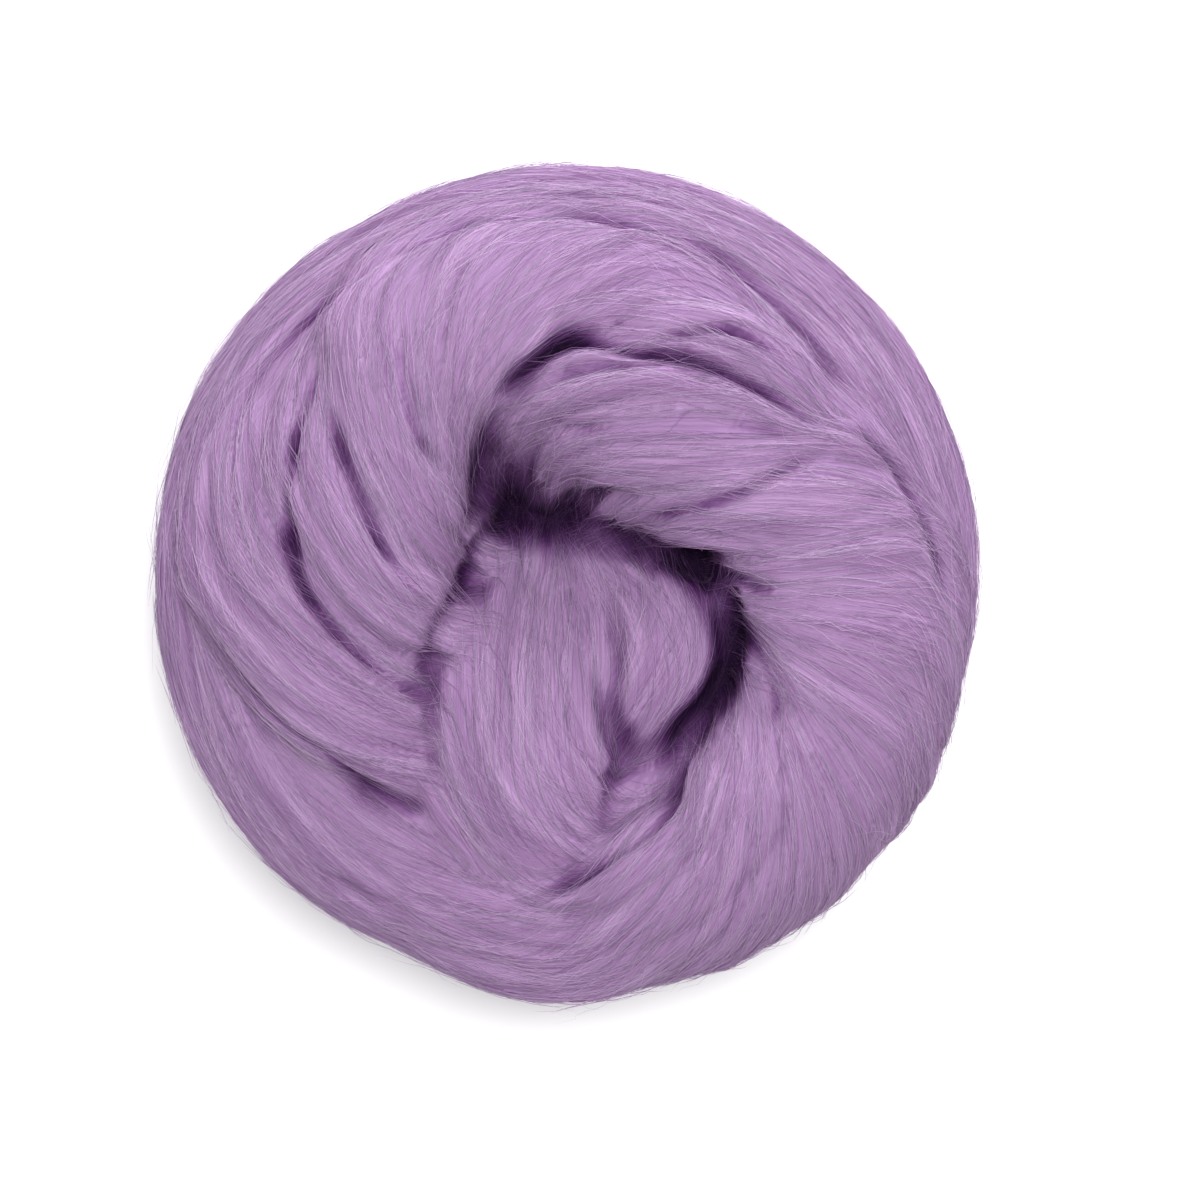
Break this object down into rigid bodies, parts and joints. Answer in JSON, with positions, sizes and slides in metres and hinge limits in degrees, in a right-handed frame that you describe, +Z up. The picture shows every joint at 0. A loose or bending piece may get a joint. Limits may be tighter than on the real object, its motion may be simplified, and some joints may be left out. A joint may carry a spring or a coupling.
{
  "type": "ball of wool roving",
  "caption": "Hand-wound ball of combed wool roving, a twisted ring of soft locks with its end bent into the hollow in the middle.",
  "frame": {"origin": "on the table, under the middle of the ball", "axes": "+Z up through the hollow in the ball's middle; +Y to the top of the picture and +X to its right"},
  "size_m": [0.115, 0.1158, 0.0632],
  "materials": {
    "wool": "matt lilac combed wool"
  },
  "bodies": {
    "root": {"roving_ball": "wool"}
  },
  "joints": []
}
